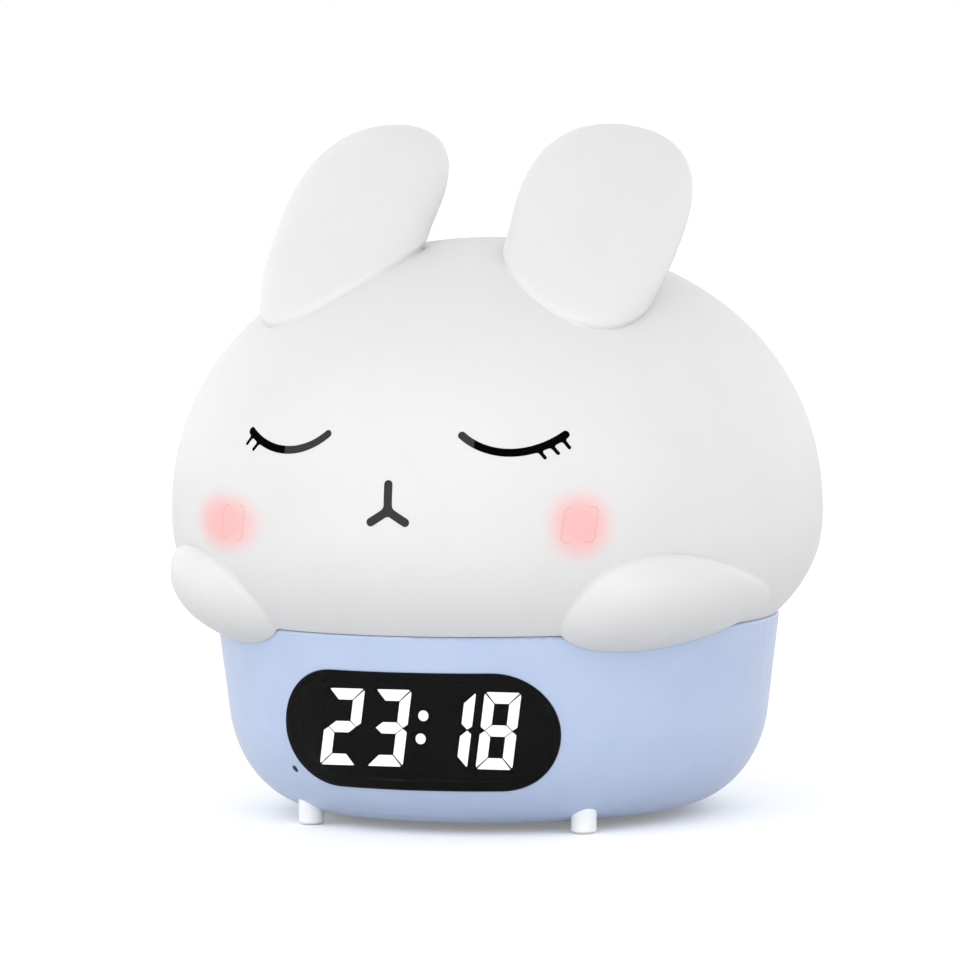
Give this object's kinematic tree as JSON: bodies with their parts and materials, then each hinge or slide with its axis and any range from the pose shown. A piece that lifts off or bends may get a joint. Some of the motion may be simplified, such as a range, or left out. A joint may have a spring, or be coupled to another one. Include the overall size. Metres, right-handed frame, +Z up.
{
  "type": "bedside alarm clock with night light",
  "caption": "Bedside alarm clock and night light: hollow silicone rabbit head on a round plastic base with a curved LED time window, rear keys and a USB-C charging inlet.",
  "frame": {"origin": "on the resting plane, under the middle of the head and base", "axes": "+Z up, -Y towards the face and the time window, +Y towards the keys and the inlet, +X to the right of the front view"},
  "size_m": [0.1302, 0.1302, 0.1371],
  "materials": {
    "head_silicone": "matte",
    "base_plastic": "fine satin",
    "foot_silicone": "matte",
    "screw_steel": "satin",
    "smoked_window": "gloss",
    "black_tape": "matte",
    "display_black": "matte",
    "bars_lit": "glowing",
    "bars_dark": "matte",
    "circuit_board": "solder mask",
    "white_board": "solder mask",
    "black_rubber": "matte",
    "tin_metal": "bright",
    "switch_black": "satin",
    "socket_steel": "bright",
    "cell_wrap": "gloss film",
    "foam_black": "foam",
    "speaker_steel": "zinc",
    "speaker_paper": "paper",
    "chip_black": "moulded",
    "connector_white": "moulded",
    "wire_red": "gloss",
    "wire_black": "gloss",
    "wire_white": "gloss",
    "ribbon_grey": "satin",
    "white_plastic": "satin",
    "led_white": "gloss",
    "milky_plastic": "milky",
    "key_plastic": "satin",
    "face_ink": "matte"
  },
  "bodies": {
    "base": {"base_shell": "base_plastic", "battery_cell": "tin_metal", "battery_lead_black": "wire_black", "battery_lead_red": "wire_red", "battery_pad": "foam_black", "battery_wrap": "cell_wrap", "board_chips": "chip_black", "board_components": "tin_metal", "board_connectors": "connector_white", "bottom_cover": "base_plastic", "bottom_screws": "screw_steel", "deck": "white_plastic", "deck_screws": "screw_steel", "diffuser_screws": "screw_steel", "digit_bars_dark": "bars_dark", "digit_bars_lit": "bars_lit", "display_board": "circuit_board", "display_housing": "display_black", "display_lens": "smoked_window", "display_ribbon": "ribbon_grey", "display_screws": "screw_steel", "face_print": "face_ink", "foot_front_left": "foot_silicone", "foot_front_right": "foot_silicone", "foot_rear_left": "foot_silicone", "foot_rear_right": "foot_silicone", "head_skin": "head_silicone", "key_board": "circuit_board", "key_board_screws": "screw_steel", "key_ribbon": "ribbon_grey", "lamp_leads": "wire_white", "lens_tape": "black_tape", "light_board": "white_board", "light_board_screws": "screw_steel", "light_diffuser": "milky_plastic", "light_leds": "led_white", "main_board": "circuit_board", "main_board_screws": "screw_steel", "mic_boot": "black_rubber", "microphone": "tin_metal", "power_switch_housing": "tin_metal", "speaker_cone": "speaker_paper", "speaker_frame": "speaker_steel", "speaker_gasket": "foam_black", "speaker_leads": "wire_black", "speaker_magnet": "speaker_steel", "tact_switches": "switch_black", "usb_c_socket": "socket_steel", "usb_c_tongue": "switch_black"},
    "alarm_button": {"alarm_button": "key_plastic", "alarm_plunger": "switch_black"},
    "down_button": {"down_button": "key_plastic", "down_plunger": "switch_black"},
    "up_button": {"up_button": "key_plastic", "up_plunger": "switch_black"},
    "set_button": {"set_button": "key_plastic", "set_plunger": "switch_black"},
    "power_slider": {"power_slider": "switch_black"}
  },
  "joints": [
    {"name": "alarm_press", "type": "slide", "parent": "base", "child": "alarm_button", "axis": [0, -1, 0], "range_m": [0, 0.0003], "stiffness_N_per_m": 400, "springref_m": -0.003},
    {"name": "down_press", "type": "slide", "parent": "base", "child": "down_button", "axis": [0, -1, 0], "range_m": [0, 0.0003], "stiffness_N_per_m": 400, "springref_m": -0.003},
    {"name": "up_press", "type": "slide", "parent": "base", "child": "up_button", "axis": [0, -1, 0], "range_m": [0, 0.0003], "stiffness_N_per_m": 400, "springref_m": -0.003},
    {"name": "set_press", "type": "slide", "parent": "base", "child": "set_button", "axis": [0, -1, 0], "range_m": [0, 0.0003], "stiffness_N_per_m": 400, "springref_m": -0.003},
    {"name": "power_slide", "type": "slide", "parent": "base", "child": "power_slider", "axis": [1, 0, 0], "range_m": [0, 0.002]}
  ]
}
